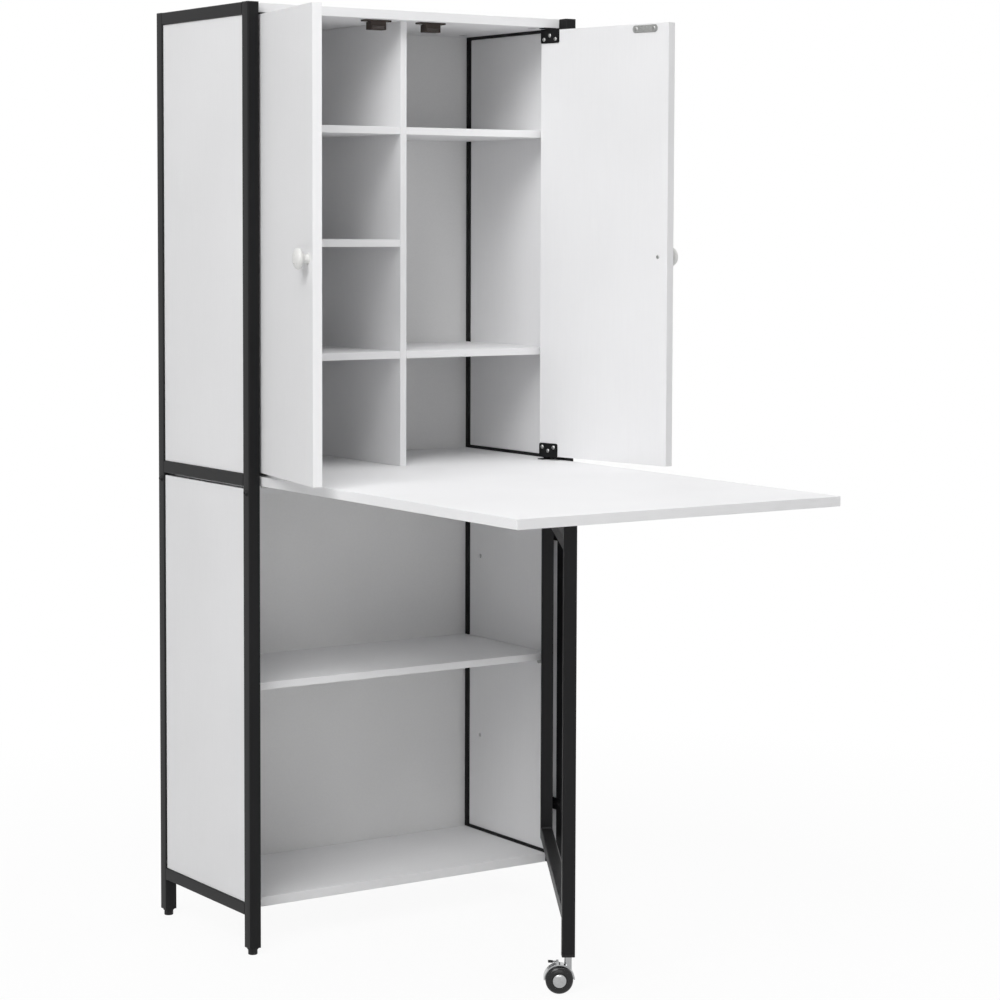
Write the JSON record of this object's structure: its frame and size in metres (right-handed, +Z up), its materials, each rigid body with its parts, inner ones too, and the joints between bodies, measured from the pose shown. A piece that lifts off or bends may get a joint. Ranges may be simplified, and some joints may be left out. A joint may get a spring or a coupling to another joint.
{
  "type": "sewing armoire",
  "caption": "Tall craft cabinet on black square-tube side frames, with white boards, inset doors, cubbies, an adjustable shelf, a drop-leaf table and a gate leg on a caster.",
  "frame": {"origin": "on the floor, at the middle of the footprint with the leaf up and the doors open", "axes": "+X to the right of someone facing the doors, +Y to the back, +Z up"},
  "size_m": [0.7108, 1.019, 1.5],
  "materials": {
    "black_steel": "satin powder coat",
    "black_plastic": "moulded, matt",
    "zinc_steel": "zinc plated",
    "white_gloss": "glossy white",
    "brown_plastic": "moulded, dark brown",
    "beech": "plain",
    "wheel_black": "smooth",
    "chrome": "polished",
    "white_back": "thin white-faced board",
    "white_board": "white laminate, faint grain"
  },
  "bodies": {
    "cabinet": {"left_upper_frame": "black_steel", "right_upper_frame": "black_steel", "left_lower_frame": "black_steel", "right_lower_frame": "black_steel", "left_upper_panel": "white_board", "right_upper_panel": "white_board", "left_lower_panel": "white_board", "right_lower_panel": "white_board", "frame_joiners": "zinc_steel", "joiner_bolts": "black_steel", "post_caps": "black_plastic", "foot_glides": "black_plastic", "top_panel": "white_board", "table_panel": "white_board", "bottom_panel": "white_board", "upper_back_panel": "white_back", "lower_back_panel": "white_back", "rear_rail": "white_board", "divider": "white_board", "left_shelf_low": "white_board", "left_shelf_mid": "white_board", "left_shelf_high": "white_board", "right_shelf_low": "white_board", "right_shelf_high": "white_board", "lower_shelf": "white_board", "shelf_pins": "zinc_steel", "shelf_dowels": "beech", "cam_locks": "zinc_steel", "cam_bolts": "zinc_steel", "catch_housings": "brown_plastic", "catch_magnets": "zinc_steel", "pivot_plates": "black_steel", "leaf_hinge_fixed": "zinc_steel", "gate_hinge_brackets": "black_steel"},
    "left_door": {"left_door": "white_board", "left_door_plates": "black_steel", "left_knob": "white_gloss", "left_knob_screw": "zinc_steel", "left_strike": "zinc_steel"},
    "right_door": {"right_door": "white_board", "right_door_plates": "black_steel", "right_knob": "white_gloss", "right_knob_screw": "zinc_steel", "right_strike": "zinc_steel"},
    "leaf": {"drop_leaf": "white_board", "leaf_hinge_moving": "zinc_steel", "leaf_pad": "black_plastic"},
    "gate": {"gate_inner_post": "black_steel", "gate_outer_post": "black_steel", "gate_top_rail": "black_steel", "gate_bottom_rail": "black_steel", "gate_hinge_knuckles": "black_steel", "gate_post_plugs": "black_plastic"},
    "caster": {"caster_yoke": "chrome", "caster_axle": "chrome"},
    "wheel_near": {"caster_wheel_near": "wheel_black", "hub_cap_near": "chrome"},
    "wheel_far": {"caster_wheel_far": "wheel_black", "hub_cap_far": "chrome"},
    "brake_lever": {"caster_brake_lever": "chrome"}
  },
  "joints": [
    {"name": "left_door_hinge", "type": "hinge", "parent": "cabinet", "child": "left_door", "pos_m": [-0.276, 0.2255, 1.1235], "axis": [0, 0, -1], "range_deg": [-101, 2]},
    {"name": "right_door_hinge", "type": "hinge", "parent": "cabinet", "child": "right_door", "pos_m": [0.276, 0.2255, 1.1235], "axis": [0, 0, 1], "range_deg": [-101, 2]},
    {"name": "leaf_hinge", "type": "hinge", "parent": "cabinet", "child": "leaf", "pos_m": [0, 0.2155, 0.7425], "axis": [-1, 0, 0], "range_deg": [0, 1]},
    {"name": "gate_swing", "type": "hinge", "parent": "cabinet", "child": "gate", "pos_m": [0.2835, 0.2345, 0.4], "axis": [0, 0, 1], "range_deg": [-58.5, 3]},
    {"name": "caster_swivel", "type": "hinge", "parent": "gate", "child": "caster", "pos_m": [-0.00701, -0.23957, 0.06], "axis": [0, 0, 1], "continuous": true},
    {"name": "wheel_near_spin", "type": "hinge", "parent": "caster", "child": "wheel_near", "pos_m": [-0.01852, -0.23251, 0.021], "axis": [0.5225, 0.8526, 0], "continuous": true},
    {"name": "wheel_far_spin", "type": "hinge", "parent": "caster", "child": "wheel_far", "pos_m": [-0.01852, -0.23251, 0.021], "axis": [0.5225, 0.8526, 0], "continuous": true},
    {"name": "brake_press", "type": "hinge", "parent": "caster", "child": "brake_lever", "pos_m": [-0.02065, -0.23121, 0.047], "axis": [0.5225, 0.8526, 0], "range_deg": [-14, 0]}
  ]
}
